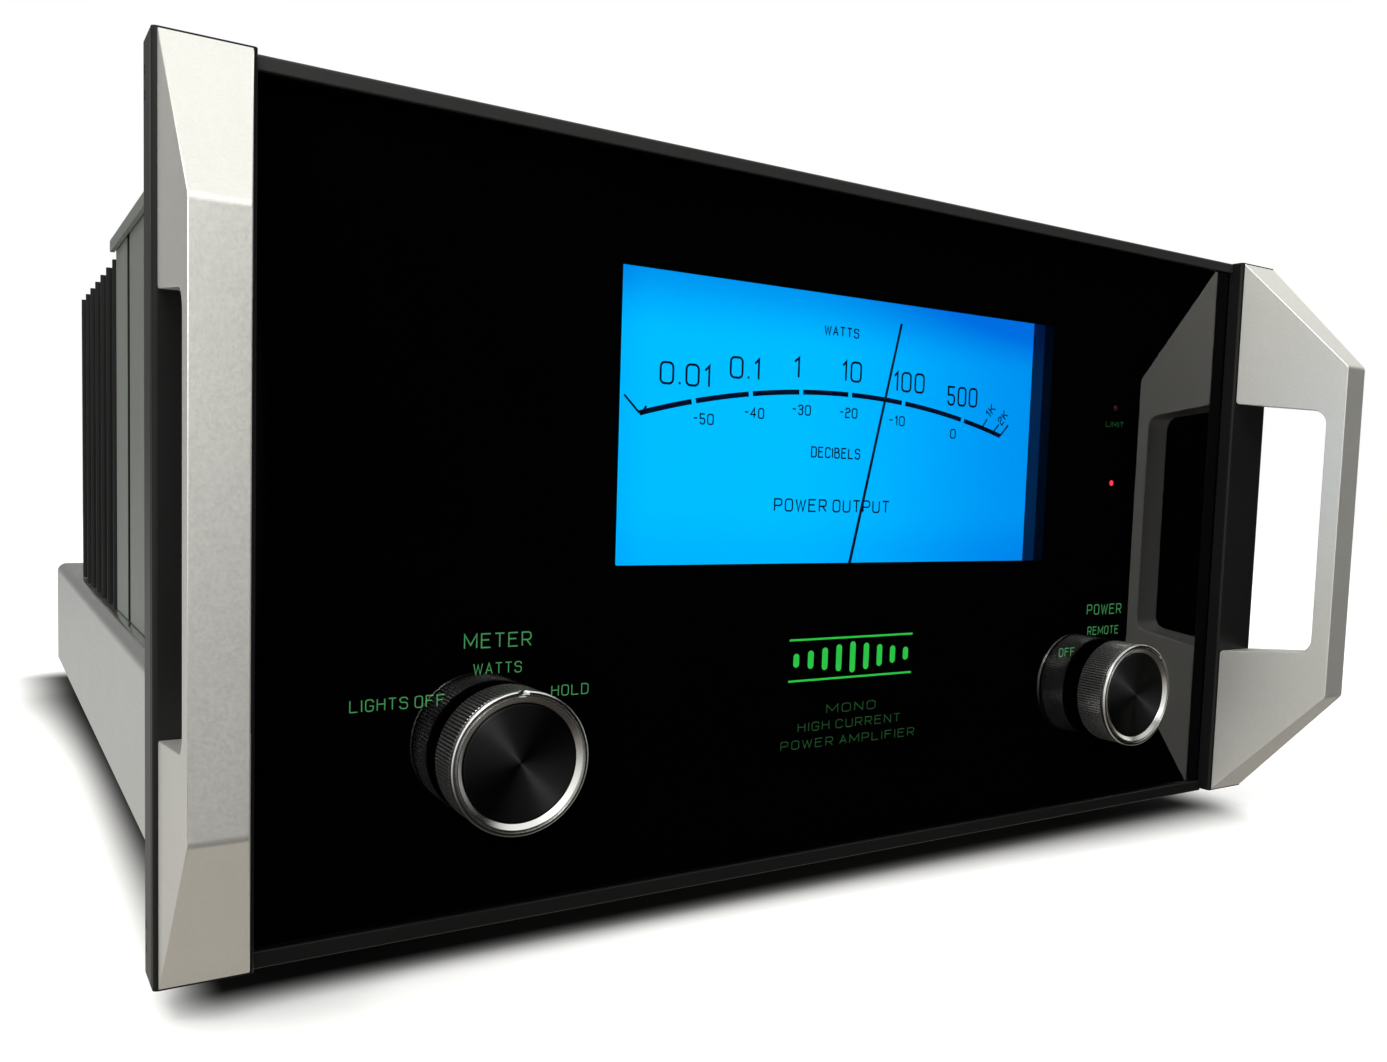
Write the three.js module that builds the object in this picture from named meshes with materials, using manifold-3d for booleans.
// A mono-block audio power amplifier: a glass-fronted face between two handled end plates, with a
// moving-coil output meter and two rotary knobs, on a polished chassis that carries a front
// compartment, two finned heatsinks and two transformer cans.
//
// Units are millimetres. While it is built, x is measured from the centre line, y backwards from the
// front of the end plates, and z upwards from the floor. The whole group is then moved so that its
// origin is the middle of the footprint, on the floor.

import * as THREE from "three";
import { mergeVertices } from "three/addons/utils/BufferGeometryUtils.js";
import Module from "manifold-3d";

const wasm = await Module();
wasm.setup();

// ---------------------------------------------------------------- driving dimensions

const GAP = 0.3; // clearance between pieces that meet
const FACE_WIDTH = 444.5;
const FACE_HEIGHT = 228.8;
const FACE_CLEARANCE = 11.2; // floor to the bottom of the face
const OVERALL_DEPTH = 559;

const PLATE_WIDTH = 23.4;
const PLATE_DEPTH = 14.6;
const HANDLE_REACH = 43.2;

const GLASS_FRONT = 6;
const GLASS_THICKNESS = 5;
const GUIDE_THICKNESS = 2;
const SUBPANEL_THICKNESS = 2;
const TRIM_LIP_FRONT = 4.2;

const CHASSIS_HALF_WIDTH = 212.4;
const CHASSIS_BOTTOM = 20;
const CHASSIS_TOP = 77.2;
const CHASSIS_REAR = 500;
const SHEET = 1.8; // sheet metal of the panels
const CHASSIS_SHEET = 2;

const COVER_HALF_WIDTH = 207.8;
const COVER_TOP = 231.2;
const COVER_LIP = 5.6;
const COMPARTMENT_REAR = 243;
const SIDE_SLOT_START = 196; // upright ventilation slot in the side of the compartment
const SIDE_SLOT_END = 204;

const FIN_TOP = 223.2;
const FIN_TIP = 206.6;
const HEATSINK_START = 246;
const HEATSINK_END = 410;

const KNOB_X = 131.5;
const KNOB_Z = 60.5;
const KNOB_RADIUS = 20.2;
const KNOB_FRONT = -11;
const KNOB_BACK = 2.8;
const POWER_KNOB_TURN = 45; // degrees clockwise from the top, as seen from the front

const WINDOW_HALF_WIDTH = 93.8;
const WINDOW_BOTTOM = 113.2;
const WINDOW_TOP = 203.4;
const DIAL_FRONT = 22;
const NEEDLE_PIVOT_Z = 96.7;
const NEEDLE_LENGTH = 104; // pivot to tip
const NEEDLE_TURN = 12.8; // degrees clockwise from upright, at the reading shown

const INDICATOR_X = 132.3;
const LOWER_INDICATOR_Z = 144.3;
const UPPER_INDICATOR_Z = 174.5;

// ---------------------------------------------------------------- derived places

const HALF_WIDTH = FACE_WIDTH / 2;
const FACE_BOTTOM = FACE_CLEARANCE;
const FACE_TOP = FACE_BOTTOM + FACE_HEIGHT;
const PLATE_INNER = HALF_WIDTH - PLATE_WIDTH;
const GLASS_BACK = GLASS_FRONT + GLASS_THICKNESS;
const GUIDE_FRONT = GLASS_BACK + GAP;
const GUIDE_BACK = GUIDE_FRONT + GUIDE_THICKNESS;
const SUBPANEL_FRONT = GUIDE_BACK + GAP;
const SUBPANEL_BACK = SUBPANEL_FRONT + SUBPANEL_THICKNESS;
const BEHIND_SUBPANEL = SUBPANEL_BACK + GAP;
const PANEL_BOTTOM = FACE_BOTTOM + 1.4; // bottom of the glass and the sheets behind it
const PANEL_TOP = FACE_TOP - 2.4;
const DECK = CHASSIS_TOP + GAP; // what stands on the chassis starts here
const REARMOST = OVERALL_DEPTH - HANDLE_REACH;
const PANEL_OUTER = COVER_HALF_WIDTH - SHEET - GAP;

// ---------------------------------------------------------------- materials

function finish(color, roughness, metalness) {
  return new THREE.MeshStandardMaterial({ color, roughness, metalness });
}

const SATIN_BLACK = finish(0x1c1d1c, 0.45, 0.3);
const CAST_ALUMINIUM = finish(0xc6c7c2, 0.5, 0.9);
const BLACK_GLASS = finish(0x020203, 0.05, 0);
const CLEAR_PLASTIC = finish(0xd8e0dc, 0.2, 0);
const STEEL = finish(0x8d9090, 0.45, 0.9);
const POLISHED_STEEL = finish(0xc2c6c0, 0.18, 1);
const GREY_PAINT = finish(0x70756f, 0.5, 0.2);
const BLACK_PAINT = finish(0x222322, 0.5, 0.1);
const BLACK_ANODISED = finish(0x1b1b1b, 0.4, 0.8);
const CHROME = finish(0xe4e4e2, 0.12, 1);
const BLACK_PLASTIC = finish(0x151515, 0.5, 0);
const BLUE_DIAL = finish(0x00aeff, 0.5, 0);
const NAVY = finish(0x0a1440, 0.5, 0);
const RED_LENS = finish(0xe01020, 0.3, 0);
const GREEN_BOARD = finish(0x1d5a34, 0.5, 0);
const SLEEVE = finish(0x22262e, 0.4, 0);
const CORE_STEEL = finish(0x55504a, 0.6, 0.6);
const RUBBER = finish(0x101010, 0.9, 0);
const GOLD = finish(0xd2a648, 0.2, 1);
const BRASS = finish(0xb08d4a, 0.3, 1);

// ---------------------------------------------------------------- geometry helpers

// Six times the signed volume that a triangle list encloses.
function signedVolume(positions) {
  const a = new THREE.Vector3();
  const b = new THREE.Vector3();
  const c = new THREE.Vector3();
  let sum = 0;
  for (let i = 0; i < positions.count; i += 3) {
    a.fromBufferAttribute(positions, i);
    b.fromBufferAttribute(positions, i + 1);
    c.fromBufferAttribute(positions, i + 2);
    sum += a.dot(b.cross(c));
  }
  return sum;
}

// The same surface as plain triangles that face outwards.
function outward(geometry) {
  const flat = geometry.index ? geometry.toNonIndexed() : geometry.clone();
  flat.deleteAttribute("normal");
  flat.deleteAttribute("uv");
  const positions = flat.getAttribute("position");
  if (signedVolume(positions) < 0) {
    const first = new THREE.Vector3();
    const last = new THREE.Vector3();
    for (let i = 0; i < positions.count; i += 3) {
      first.fromBufferAttribute(positions, i);
      last.fromBufferAttribute(positions, i + 2);
      positions.setXYZ(i, last.x, last.y, last.z);
      positions.setXYZ(i + 2, first.x, first.y, first.z);
    }
  }
  flat.computeVertexNormals();
  return flat;
}

function solidOf(geometry) {
  const bare = outward(geometry);
  bare.deleteAttribute("normal");
  const merged = mergeVertices(bare, 1e-4);
  return new wasm.Manifold(
    new wasm.Mesh({
      numProp: 3,
      vertProperties: merged.getAttribute("position").array,
      triVerts: new Uint32Array(merged.index.array),
    }),
  );
}

function geometryOf(solid) {
  const mesh = solid.getMesh();
  const geometry = new THREE.BufferGeometry();
  geometry.setAttribute("position", new THREE.BufferAttribute(mesh.vertProperties, mesh.numProp));
  geometry.setIndex(new THREE.BufferAttribute(mesh.triVerts, 1));
  return outward(geometry);
}

function cut(geometry, ...tools) {
  return geometryOf(tools.reduce((left, tool) => left.subtract(solidOf(tool)), solidOf(geometry)));
}

function join(geometry, ...others) {
  return geometryOf(others.reduce((sum, other) => sum.add(solidOf(other)), solidOf(geometry)));
}

function mirrored(geometry) {
  return outward(geometry.clone().scale(-1, 1, 1));
}

function block([x0, x1], [y0, y1], [z0, z1]) {
  const box = new THREE.BoxGeometry(x1 - x0, y1 - y0, z1 - z0);
  return box.translate((x0 + x1) / 2, (y0 + y1) / 2, (z0 + z1) / 2);
}

// An outline from corners [a, b, radius]; a corner with a radius becomes an arc.
function outline(corners, steps = 5) {
  const points = [];
  corners.forEach(([a, b, radius = 0], i) => {
    const corner = new THREE.Vector2(a, b);
    if (!radius) {
      points.push(corner);
      return;
    }
    const [before, after] = [corners.at(i - 1), corners[(i + 1) % corners.length]].map(([p, q]) =>
      new THREE.Vector2(p, q).sub(corner).normalize(),
    );
    const half = Math.acos(before.dot(after)) / 2;
    const bisector = before.clone().add(after).normalize();
    const centre = corner.clone().addScaledVector(bisector, radius / Math.sin(half));
    const from = corner.clone().addScaledVector(before, radius / Math.tan(half)).sub(centre);
    const turn = Math.sign(before.cross(after)) * (Math.PI - 2 * half);
    for (let k = 0; k <= steps; k += 1) {
      points.push(from.clone().rotateAround(new THREE.Vector2(), (-turn * k) / steps).add(centre));
    }
  });
  return points;
}

function rectangle([a0, a1], [b0, b1], radius = 0, steps = 4) {
  const corners = [
    [a0, b0, radius],
    [a1, b0, radius],
    [a1, b1, radius],
    [a0, b1, radius],
  ];
  return outline(corners, steps);
}

const PRISM_AXES = {
  x: new THREE.Matrix4().set(0, 0, 1, 0, 1, 0, 0, 0, 0, 1, 0, 0, 0, 0, 0, 1), // outline is y, z
  y: new THREE.Matrix4().set(1, 0, 0, 0, 0, 0, 1, 0, 0, 1, 0, 0, 0, 0, 0, 1), // outline is x, z
  z: new THREE.Matrix4(), // outline is x, y
};

// A straight bar of the given outline along one axis.
function prism(points, axis, [from, to]) {
  const settings = { depth: to - from, bevelEnabled: false, steps: 1 };
  const bar = new THREE.ExtrudeGeometry(new THREE.Shape(points), settings);
  bar.translate(0, 0, from).applyMatrix4(PRISM_AXES[axis]);
  return outward(bar);
}

// A turned piece on an axis that runs front to back; the profile is a list of [radius, y].
function turned(profile, [x, z], sides = 48) {
  const points = profile.map(([radius, y]) => new THREE.Vector2(radius, y));
  return outward(new THREE.LatheGeometry(points, sides).translate(x, 0, z));
}

// A turned piece that stands upright; the profile is a list of [radius, z].
function upright(profile, [x, y], sides = 32) {
  const points = profile.map(([radius, z]) => new THREE.Vector2(radius, z));
  const lathe = new THREE.LatheGeometry(points, sides).rotateX(Math.PI / 2);
  return outward(lathe.scale(1, -1, 1).translate(x, y, 0));
}

function rod(radius, [y0, y1], [x, z], sides = 32) {
  const profile = [
    [0, y0],
    [radius, y0],
    [radius, y1],
    [0, y1],
  ];
  return turned(profile, [x, z], sides);
}

// Turns a piece clockwise, as seen from the front, about the point (x, z).
function clockwise(geometry, degrees, [x, z]) {
  return outward(
    geometry
      .clone()
      .translate(-x, 0, -z)
      .rotateY(THREE.MathUtils.degToRad(degrees))
      .translate(x, 0, z),
  );
}

const amplifier = new THREE.Group();
amplifier.name = "power_amplifier";

function add(name, geometry, material) {
  const mesh = new THREE.Mesh(outward(geometry), material);
  mesh.name = name;
  amplifier.add(mesh);
}

function addPair(name, rightGeometry, material) {
  add(`right_${name}`, rightGeometry, material);
  add(`left_${name}`, mirrored(rightGeometry), material);
}

// ---------------------------------------------------------------- end plates and handles

function rightEndPlate() {
  const slotFront = GLASS_FRONT - GAP;
  const slotBack = GLASS_BACK + GAP;
  const slotFloor = PLATE_INNER + 2.3;
  const grooveDepth = 0.6;
  const grooveBack = 3;
  const grooveFront = 2.2;
  const corners = [
    [PLATE_INNER, 0, 1],
    [HALF_WIDTH, 0, 1.2],
    [HALF_WIDTH, grooveFront],
    [HALF_WIDTH - grooveDepth, grooveFront],
    [HALF_WIDTH - grooveDepth, grooveBack],
    [HALF_WIDTH, grooveBack],
    [HALF_WIDTH, PLATE_DEPTH, 0.8],
    [PLATE_INNER, PLATE_DEPTH],
    [PLATE_INNER, slotBack],
    [slotFloor, slotBack],
    [slotFloor, slotFront],
    [PLATE_INNER, slotFront],
  ];
  return prism(outline(corners), "z", [FACE_BOTTOM, FACE_TOP]);
}

// A cast handle: a D in side view, its inner face leaning outwards towards the grip.
function rightHandle() {
  const base = -GAP;
  const grip = -HANDLE_REACH;
  const openingFront = -36.4;
  const openingBottom = FACE_BOTTOM + 62.2;
  const openingTop = FACE_BOTTOM + 169;
  const draft = 3.8; // how far the ends of the opening slope towards each other at the grip
  const corners = [
    [base, FACE_BOTTOM + 0.5],
    [grip, FACE_BOTTOM + 48.2, 3],
    [grip, FACE_BOTTOM + 183, 3],
    [base, FACE_TOP - 0.5],
    [base, openingTop, 1.5],
    [openingFront, openingTop - draft, 6],
    [openingFront, openingBottom + draft, 6],
    [base, openingBottom, 1.5],
  ];
  const handle = prism(outline(corners), "x", [0, 1]);
  const outer = HALF_WIDTH - 1.2;
  const innerAtBase = PLATE_INNER + 1.1;
  const innerAtGrip = PLATE_INNER + 9.7;
  const positions = handle.getAttribute("position");
  for (let i = 0; i < positions.count; i += 1) {
    const towardsGrip = (positions.getY(i) - base) / (grip - base);
    const inner = THREE.MathUtils.lerp(innerAtBase, innerAtGrip, towardsGrip);
    positions.setX(i, THREE.MathUtils.lerp(inner, outer, positions.getX(i)));
  }
  return handle;
}

addPair("end_plate", rightEndPlate(), SATIN_BLACK);
addPair("handle", rightHandle(), CAST_ALUMINIUM);

// ---------------------------------------------------------------- face: glass, guide, trims

const SHAFT_HOLE_RADIUS = 4.5;
const SHAFTS = [
  [-KNOB_X, KNOB_Z],
  [KNOB_X, KNOB_Z],
];
const INDICATORS = [
  [INDICATOR_X, LOWER_INDICATOR_Z],
  [INDICATOR_X, UPPER_INDICATOR_Z],
];
const INDICATOR_RADIUS = 1.5;

function frontGlass() {
  const edge = PLATE_INNER + 2;
  const slab = block([-edge, edge], [GLASS_FRONT, GLASS_BACK], [PANEL_BOTTOM, PANEL_TOP]);
  return cut(slab, ...SHAFTS.map((at) => rod(SHAFT_HOLE_RADIUS, [0, 20], at)));
}

// A sheet behind the glass, with the meter window, the two shafts and the two indicators cut out.
function facedSheet([front, back]) {
  const edge = PLATE_INNER - GAP;
  const through = [front - 1, back + 1];
  const margin = 1.7;
  const window = block(
    [-WINDOW_HALF_WIDTH - margin, WINDOW_HALF_WIDTH + margin],
    through,
    [WINDOW_BOTTOM - margin, WINDOW_TOP + margin],
  );
  return cut(
    block([-edge, edge], [front, back], [PANEL_BOTTOM, PANEL_TOP]),
    window,
    ...SHAFTS.map((at) => rod(SHAFT_HOLE_RADIUS + 0.5, through, at)),
    ...INDICATORS.map((at) => rod(INDICATOR_RADIUS + GAP, through, at, 16)),
  );
}

// A trim bar that hooks over the edge of the glass; its section is y, z.
function trim(flangeOuter, flangeInner, lipEnd) {
  const lipBack = GLASS_FRONT - GAP;
  const edge = PLATE_INNER - GAP;
  const corners = [
    [TRIM_LIP_FRONT, lipEnd],
    [TRIM_LIP_FRONT, flangeOuter, 0.8],
    [PLATE_DEPTH, flangeOuter],
    [PLATE_DEPTH, flangeInner],
    [lipBack, flangeInner],
    [lipBack, lipEnd],
  ];
  return prism(outline(corners), "x", [-edge, edge]);
}

add("front_glass", frontGlass(), BLACK_GLASS);
add("legend_light_guide", facedSheet([GUIDE_FRONT, GUIDE_BACK]), CLEAR_PLASTIC);
add("front_subpanel", facedSheet([SUBPANEL_FRONT, SUBPANEL_BACK]), STEEL);
add("top_trim", trim(FACE_TOP - 0.1, PANEL_TOP + GAP, FACE_TOP - 4), SATIN_BLACK);
add("bottom_trim", trim(FACE_BOTTOM - 0.9, PANEL_BOTTOM - GAP, FACE_BOTTOM + 3.7), SATIN_BLACK);

// ---------------------------------------------------------------- meter

const HOUSING_BACK = 41;
const HOUSING_WALL = 3.2;
const HOUSING_HALF_WIDTH = 98.5;
const HOUSING_BOTTOM = 78;
const HOUSING_TOP = 211.5;

function meterHousing() {
  const inner = HOUSING_HALF_WIDTH - HOUSING_WALL;
  return cut(
    block(
      [-HOUSING_HALF_WIDTH, HOUSING_HALF_WIDTH],
      [BEHIND_SUBPANEL, HOUSING_BACK],
      [HOUSING_BOTTOM, HOUSING_TOP],
    ),
    block(
      [-inner, inner],
      [BEHIND_SUBPANEL - 1, HOUSING_BACK - 2],
      [HOUSING_BOTTOM + HOUSING_WALL, HOUSING_TOP - HOUSING_WALL],
    ),
  );
}

const DIAL_BOTTOM = 100.4;
const DIAL_TOP = 207.8;
const MOVEMENT_FRONT = 19.6;
const PIVOT = [0, NEEDLE_PIVOT_Z];

function meterMovement() {
  const depth = [MOVEMENT_FRONT, 38.6];
  return cut(block([-22, 22], depth, [82, DIAL_BOTTOM - GAP]), rod(1.6, [19, 27], PIVOT, 16));
}

// The needle, its hub, its pivot and its tail weight, upright and then turned to the reading.
function meterNeedle() {
  const blade = block([-0.4, 0.4], [18.2, 18.8], [NEEDLE_PIVOT_Z, NEEDLE_PIVOT_Z + NEEDLE_LENGTH]);
  const tail = block([-1.5, 1.5], [18, 19], [NEEDLE_PIVOT_Z - 12.5, NEEDLE_PIVOT_Z]);
  const needle = join(rod(4, [17.2, 19.2], PIVOT, 24), blade, tail, rod(1.2, [19, 26], PIVOT, 16));
  return clockwise(needle, NEEDLE_TURN, PIVOT);
}

add("meter_housing", meterHousing(), NAVY);
add(
  "meter_dial",
  block([-94.9, 94.9], [DIAL_FRONT, DIAL_FRONT + 1.2], [DIAL_BOTTOM, DIAL_TOP]),
  BLUE_DIAL,
);
add("meter_movement", meterMovement(), BLACK_PLASTIC);
add("meter_needle", meterNeedle(), NAVY);
add("meter_lamp_board", block([-92, 92], [36, 37.6], [103, 202]), GREEN_BOARD);

// ---------------------------------------------------------------- knobs and their switches

const RING_BACK = -9.6;

function knobShell(at) {
  const hub = 6;
  const bore = 3.15;
  const cavityRadius = 17.5;
  const cavityFloor = -5;
  const front = RING_BACK + GAP;
  const profile = [
    [bore, KNOB_BACK],
    [hub, KNOB_BACK],
    [hub, cavityFloor],
    [cavityRadius, cavityFloor],
    [cavityRadius, KNOB_BACK],
    [KNOB_RADIUS - 0.4, KNOB_BACK],
    [KNOB_RADIUS, KNOB_BACK - 0.4],
    [KNOB_RADIUS, front],
    [bore, front],
    [bore, KNOB_BACK],
  ];
  return turned(profile, at);
}

// The bright ring: an outer rim with the pointer notch, a fine groove and an inner bevel.
function knobRing([x, z], turn) {
  const inner = 16.8;
  const rim = KNOB_RADIUS + 0.2;
  const profile = [
    [inner, RING_BACK],
    [rim, RING_BACK],
    [rim, KNOB_FRONT + 0.6],
    [rim - 0.6, KNOB_FRONT],
    [rim - 1.1, KNOB_FRONT],
    [rim - 1.3, KNOB_FRONT + 0.5],
    [rim - 1.6, KNOB_FRONT + 0.5],
    [rim - 1.8, KNOB_FRONT + 0.1],
    [inner, KNOB_FRONT + 0.6],
    [inner, RING_BACK],
  ];
  const notch = block([x - 0.5, x + 0.5], [KNOB_FRONT - 1, KNOB_FRONT + 0.7], [z + rim - 1.8, z + rim + 1]);
  return cut(turned(profile, [x, z]), clockwise(notch, turn, [x, z]));
}

function rotarySwitch([x, z]) {
  const depth = [BEHIND_SUBPANEL, 35];
  return cut(block([x - 14, x + 14], depth, [z - 14, z + 14]), rod(3.3, [15, 31], [x, z], 24));
}

function addKnob(name, at, turn) {
  add(`${name}_switch`, rotarySwitch(at), BLACK_PLASTIC);
  add(`${name}_shaft`, rod(3, [RING_BACK + GAP + 0.5, 30], at, 24), BRASS);
  add(`${name}_knob`, knobShell(at), BLACK_ANODISED);
  add(`${name}_knob_ring`, knobRing(at, turn), CHROME);
  add(`${name}_knob_face`, rod(16.5, [KNOB_FRONT + 0.7, RING_BACK + GAP - 0.3], at, 48), BLACK_ANODISED);
}

addKnob("meter_selector", SHAFTS[0], 0);
addKnob("power", SHAFTS[1], POWER_KNOB_TURN);

// ---------------------------------------------------------------- indicators

function indicator(at) {
  const profile = [
    [0, GUIDE_FRONT + 0.1],
    [INDICATOR_RADIUS * 0.6, GUIDE_FRONT + 0.4],
    [INDICATOR_RADIUS, GUIDE_FRONT + 1.2],
    [INDICATOR_RADIUS, BEHIND_SUBPANEL + 2],
    [0, BEHIND_SUBPANEL + 2],
  ];
  return turned(profile, at, 16);
}

add("lower_indicator", indicator(INDICATORS[0]), RED_LENS);
add("upper_indicator", indicator(INDICATORS[1]), RED_LENS);

// ---------------------------------------------------------------- chassis

// The polished shell: deck and sides in one bent sheet, open underneath and at both ends.
function chassisShell() {
  const inner = CHASSIS_HALF_WIDTH - CHASSIS_SHEET;
  const innerTop = CHASSIS_TOP - CHASSIS_SHEET;
  const bend = 5;
  const corners = [
    [-CHASSIS_HALF_WIDTH, CHASSIS_BOTTOM],
    [-CHASSIS_HALF_WIDTH, CHASSIS_TOP, bend],
    [CHASSIS_HALF_WIDTH, CHASSIS_TOP, bend],
    [CHASSIS_HALF_WIDTH, CHASSIS_BOTTOM],
    [inner, CHASSIS_BOTTOM],
    [inner, innerTop, bend - CHASSIS_SHEET],
    [-inner, innerTop, bend - CHASSIS_SHEET],
    [-inner, CHASSIS_BOTTOM],
  ];
  return prism(outline(corners, 6), "y", [BEHIND_SUBPANEL, CHASSIS_REAR]);
}

const FLOOR_PLATE = [CHASSIS_BOTTOM + GAP, CHASSIS_BOTTOM + 1.6];
const REAR_PANEL = [CHASSIS_REAR - 2.3, CHASSIS_REAR - 0.3];
const INLET_X = 150;
const INLET_Z = 50;
const BALANCED_X = 60;
const PHONO_X = 100;
const REAR_SOCKET_Z = 50;
const BALANCED_RADIUS = 11.5;
const PHONO_RADIUS = 4;

function floorPlate() {
  const edge = CHASSIS_HALF_WIDTH - CHASSIS_SHEET - GAP;
  return block([-edge, edge], [BEHIND_SUBPANEL, REAR_PANEL[0] - GAP], FLOOR_PLATE);
}

function rearPanel() {
  const edge = CHASSIS_HALF_WIDTH - CHASSIS_SHEET - GAP;
  const height = [CHASSIS_BOTTOM, CHASSIS_TOP - CHASSIS_SHEET - GAP];
  const through = [REAR_PANEL[0] - 1, REAR_PANEL[1] + 1];
  const panel = prism(rectangle([-edge, edge], height, 2.5, 3), "y", REAR_PANEL);
  return cut(
    panel,
    block([INLET_X - 14.3, INLET_X + 14.3], through, [INLET_Z - 10.3, INLET_Z + 10.3]),
    rod(BALANCED_RADIUS + GAP, through, [BALANCED_X, REAR_SOCKET_Z]),
    rod(PHONO_RADIUS + GAP, through, [PHONO_X, REAR_SOCKET_Z]),
  );
}

add("chassis_shell", chassisShell(), POLISHED_STEEL);
add("bottom_cover", floorPlate(), STEEL);
add("rear_panel", rearPanel(), BLACK_PAINT);
add("main_circuit_board", block([-180, 180], [60, 440], [32, 33.6]), GREEN_BOARD);

// ---------------------------------------------------------------- front compartment

function frontCover() {
  const inside = COVER_HALF_WIDTH - SHEET;
  const lipEnd = COVER_TOP - COVER_LIP;
  const depth = [BEHIND_SUBPANEL, COMPARTMENT_REAR + 1];
  const corners = [
    [-COVER_HALF_WIDTH, lipEnd, 0.6],
    [-COVER_HALF_WIDTH, COVER_TOP, 1.5],
    [COVER_HALF_WIDTH, COVER_TOP, 1.5],
    [COVER_HALF_WIDTH, lipEnd, 0.6],
    [inside, lipEnd],
    [inside, COVER_TOP - 1.5],
    [-inside, COVER_TOP - 1.5],
    [-inside, lipEnd],
  ];
  return prism(outline(corners, 3), "y", depth);
}

const COMPARTMENT_TOP = COVER_TOP - 1.5 - GAP;

function rightSidePanel() {
  const across = [PANEL_OUTER - SHEET, PANEL_OUTER];
  return block(across, [BEHIND_SUBPANEL, SIDE_SLOT_START], [DECK, COMPARTMENT_TOP]);
}

// The back of the compartment: one sheet bent forward at both sides as far as the slots.
function compartmentBack() {
  const inner = PANEL_OUTER - SHEET;
  const bend = 1.5;
  const corners = [
    [-PANEL_OUTER, SIDE_SLOT_END],
    [-PANEL_OUTER, COMPARTMENT_REAR, bend],
    [PANEL_OUTER, COMPARTMENT_REAR, bend],
    [PANEL_OUTER, SIDE_SLOT_END],
    [inner, SIDE_SLOT_END],
    [inner, COMPARTMENT_REAR - SHEET],
    [-inner, COMPARTMENT_REAR - SHEET],
    [-inner, SIDE_SLOT_END],
  ];
  return prism(outline(corners, 3), "z", [DECK, COMPARTMENT_TOP]);
}

const CAPACITOR_RADIUS = 31;
const CAPACITOR_HEIGHT = 115;

function filterCapacitor(at) {
  const bottom = DECK + 0.5;
  const top = bottom + CAPACITOR_HEIGHT;
  const profile = [
    [0, bottom],
    [CAPACITOR_RADIUS - 2, bottom],
    [CAPACITOR_RADIUS, bottom + 2],
    [CAPACITOR_RADIUS, top - 2],
    [CAPACITOR_RADIUS - 2, top],
    [CAPACITOR_RADIUS - 5, top],
    [CAPACITOR_RADIUS - 6, top - 2],
    [0, top - 2],
  ];
  return upright(profile, at, 28);
}

add("front_cover", frontCover(), GREY_PAINT);
addPair("side_panel", rightSidePanel(), GREY_PAINT);
add("compartment_back", compartmentBack(), GREY_PAINT);
[-126, -42, 42, 126].forEach((x, i) => {
  add(`filter_capacitor_${i + 1}`, filterCapacitor([x, 130]), SLEEVE);
});

// ---------------------------------------------------------------- heatsinks and output stages

const HEATSINK_BASE_INNER = 160;
const HEATSINK_BASE_OUTER = 167;
const FIN_COUNT = 14;
const FIN_THICKNESS = 3;
const SHORT_FIN_STEP = 4.5; // every other fin is this much shorter

function rightHeatsink() {
  const pitch = (HEATSINK_END - HEATSINK_START - FIN_THICKNESS) / (FIN_COUNT - 1);
  const points = [new THREE.Vector2(HEATSINK_BASE_INNER, HEATSINK_START)];
  for (let i = 0; i < FIN_COUNT; i += 1) {
    const near = HEATSINK_START + i * pitch;
    const far = near + FIN_THICKNESS;
    const tip = FIN_TIP - (i % 2) * SHORT_FIN_STEP;
    const chamfer = 0.7;
    if (i > 0) points.push(new THREE.Vector2(HEATSINK_BASE_OUTER, near));
    points.push(new THREE.Vector2(tip - chamfer, near));
    points.push(new THREE.Vector2(tip, near + chamfer));
    points.push(new THREE.Vector2(tip, far - chamfer));
    points.push(new THREE.Vector2(tip - chamfer, far));
    if (i < FIN_COUNT - 1) points.push(new THREE.Vector2(HEATSINK_BASE_OUTER, far));
  }
  points.push(new THREE.Vector2(HEATSINK_BASE_INNER, HEATSINK_END));
  return prism(points, "z", [DECK, FIN_TOP]);
}

// A cover over the output board on the inner side of the heatsink, open towards it and underneath.
function rightOutputCover() {
  const outer = HEATSINK_BASE_INNER - GAP;
  const inner = 146;
  const corners = [
    [outer, HEATSINK_START],
    [outer, HEATSINK_END],
    [inner, HEATSINK_END, 1.5],
    [inner, HEATSINK_START, 1.5],
  ];
  const hollow = block(
    [inner + SHEET, outer + 1],
    [HEATSINK_START + SHEET, HEATSINK_END - SHEET],
    [DECK - 1, FIN_TOP - SHEET],
  );
  return cut(prism(outline(corners, 3), "z", [DECK, FIN_TOP]), hollow);
}

addPair("heatsink", rightHeatsink(), BLACK_ANODISED);
addPair("output_stage_cover", rightOutputCover(), BLACK_PAINT);
addPair("output_board", block([154, 155.6], [252, 404], [84, 214]), GREEN_BOARD);

// ---------------------------------------------------------------- transformers

const CAN_INNER = 3;
const CAN_OUTER = 142;
const CAN_START = 252;
const CAN_END = 478;
const CAN_TOP = 216;

function rightTransformerCover() {
  const wall = 2;
  const outside = rectangle([CAN_INNER, CAN_OUTER], [CAN_START, CAN_END], 8);
  const inside = rectangle(
    [CAN_INNER + wall, CAN_OUTER - wall],
    [CAN_START + wall, CAN_END - wall],
    8 - wall,
  );
  return cut(prism(outside, "z", [DECK, CAN_TOP]), prism(inside, "z", [DECK - 1, CAN_TOP - wall]));
}

// A ring core with its windings, standing on the deck.
function toroid([x, y]) {
  const bottom = DECK + 1;
  const top = bottom + 105;
  const profile = [
    [22, bottom + 10],
    [30, bottom],
    [56, bottom],
    [64, bottom + 10],
    [64, top - 10],
    [56, top],
    [30, top],
    [22, top - 10],
    [22, bottom + 10],
  ];
  return upright(profile, [x, y], 28);
}

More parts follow.
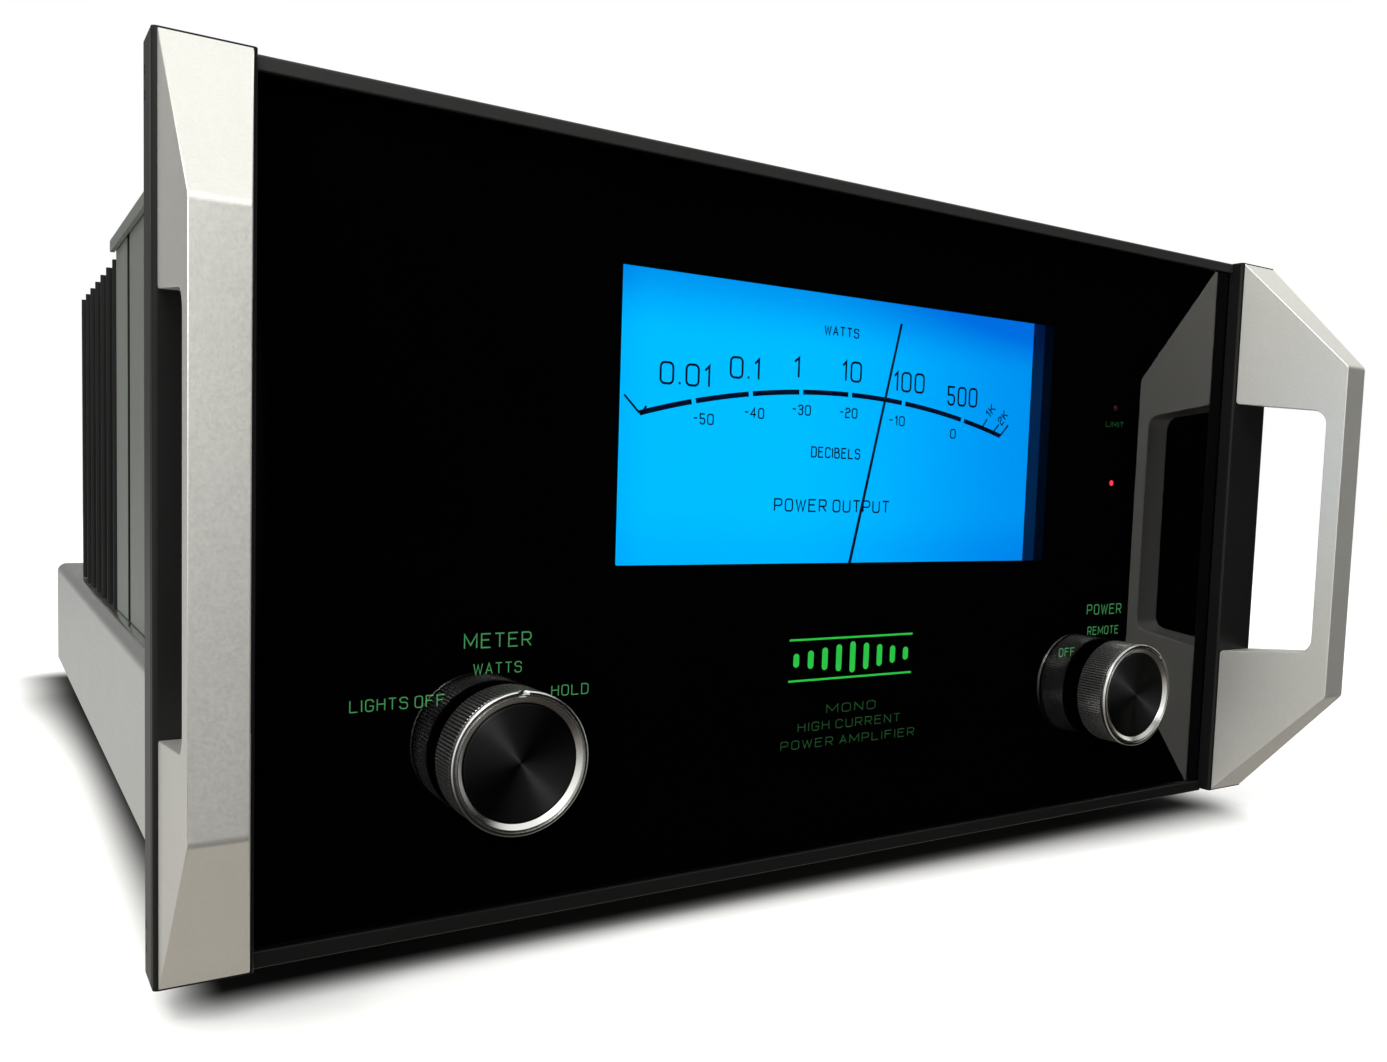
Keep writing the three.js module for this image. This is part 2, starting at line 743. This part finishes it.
// A laminated core with the winding round its middle leg.
function laminatedCore([x, y]) {
  const bottom = DECK + 1;
  const stack = block([x - 55, x + 55], [y - 40, y + 40], [bottom, bottom + 110]);
  const windows = [-1, 1].map((side) =>
    block([x + side * 27 - 10, x + side * 27 + 10], [y - 50, y + 50], [bottom + 18, bottom + 92]),
  );
  const winding = block([x - 34, x + 34], [y - 62, y + 62], [bottom + 20, bottom + 90]);
  return join(cut(stack, ...windows), winding);
}

const CAN_CENTRE = [(CAN_INNER + CAN_OUTER) / 2, (CAN_START + CAN_END) / 2];

add("power_transformer_cover", mirrored(rightTransformerCover()), BLACK_PAINT);
add("output_transformer_cover", rightTransformerCover(), BLACK_PAINT);
add("power_transformer", toroid([-CAN_CENTRE[0], CAN_CENTRE[1]]), CORE_STEEL);
add("output_transformer", laminatedCore(CAN_CENTRE), CORE_STEEL);

// ---------------------------------------------------------------- feet

const FOOT_X = 165;
const FOOT_ROWS = { front: 60, rear: 440 };

function foot(at) {
  const profile = [
    [0, 0],
    [16, 0],
    [18, 2],
    [20, CHASSIS_BOTTOM],
    [0, CHASSIS_BOTTOM],
  ];
  return upright(profile, at, 32);
}

for (const [row, y] of Object.entries(FOOT_ROWS)) {
  add(`${row}_left_foot`, foot([-FOOT_X, y]), RUBBER);
  add(`${row}_right_foot`, foot([FOOT_X, y]), RUBBER);
}

// ---------------------------------------------------------------- rear connections

const POST_PITCH = 28;
const FIRST_POST_X = -155;
const POST_Z = 49;
const POST_RADIUS = 2.5;
const BLOCK_BACK = 504;
const POSTS = [0, 1, 2, 3].map((i) => [FIRST_POST_X + i * POST_PITCH, POST_Z]);

function terminalBlock() {
  const across = [FIRST_POST_X - 15, FIRST_POST_X + 3 * POST_PITCH + 15];
  const plate = prism(rectangle(across, [POST_Z - 17, POST_Z + 17], 3), "y", [CHASSIS_REAR, BLOCK_BACK]);
  const studs = POSTS.map((at) => rod(POST_RADIUS, [CHASSIS_REAR + 1, REARMOST - 3], at, 16));
  return join(plate, ...studs);
}

// A knurled screw cap: hollow for its stud, closed at the outer end.
function terminalCap(at) {
  const bore = POST_RADIUS + GAP;
  const base = BLOCK_BACK + GAP;
  const profile = [
    [bore, base],
    [7.5, base],
    [7.5, REARMOST - 0.8],
    [6.7, REARMOST],
    [0, REARMOST],
    [0, REARMOST - 2],
    [bore, REARMOST - 2],
    [bore, base],
  ];
  return turned(profile, at, 24);
}

function mainsInlet() {
  const flange = prism(
    rectangle([INLET_X - 18, INLET_X + 18], [INLET_Z - 14, INLET_Z + 14], 2),
    "y",
    [CHASSIS_REAR, CHASSIS_REAR + 2.5],
  );
  const body = block([INLET_X - 14, INLET_X + 14], [480, CHASSIS_REAR + 1], [INLET_Z - 10, INLET_Z + 10]);
  const socket = block(
    [INLET_X - 12, INLET_X + 12],
    [484, CHASSIS_REAR + 4],
    [INLET_Z - 8, INLET_Z + 8],
  );
  return cut(join(flange, body), socket);
}

function balancedInput() {
  const at = [BALANCED_X, REAR_SOCKET_Z];
  const flange = prism(
    rectangle([BALANCED_X - 13, BALANCED_X + 13], [REAR_SOCKET_Z - 15.5, REAR_SOCKET_Z + 15.5], 3),
    "y",
    [CHASSIS_REAR, CHASSIS_REAR + 2.5],
  );
  const contact = (angle) => [
    at[0] + 4.5 * Math.cos(angle),
    at[1] + 4.5 * Math.sin(angle),
  ];
  const contacts = [0, 120, 240].map((turn) => contact(THREE.MathUtils.degToRad(turn + 90)));
  return cut(
    join(flange, rod(BALANCED_RADIUS, [480, CHASSIS_REAR + 1], at)),
    ...contacts.map((place) => rod(1.4, [490, CHASSIS_REAR + 4], place, 12)),
  );
}

function phonoInput() {
  const at = [PHONO_X, REAR_SOCKET_Z];
  const washer = rod(7, [CHASSIS_REAR, CHASSIS_REAR + 2], at, 24);
  const barrel = rod(PHONO_RADIUS, [485, CHASSIS_REAR + 10], at, 24);
  return cut(join(washer, barrel), rod(1.6, [492, CHASSIS_REAR + 12], at, 12));
}

add("speaker_terminal_block", terminalBlock(), BLACK_PLASTIC);
POSTS.forEach((at, i) => add(`speaker_terminal_cap_${i + 1}`, terminalCap(at), GOLD));
add("mains_inlet", mainsInlet(), BLACK_PLASTIC);
add("balanced_input", balancedInput(), BLACK_PLASTIC);
add("phono_input", phonoInput(), GOLD);

amplifier.position.y = -(REARMOST - HANDLE_REACH) / 2;

export default amplifier;
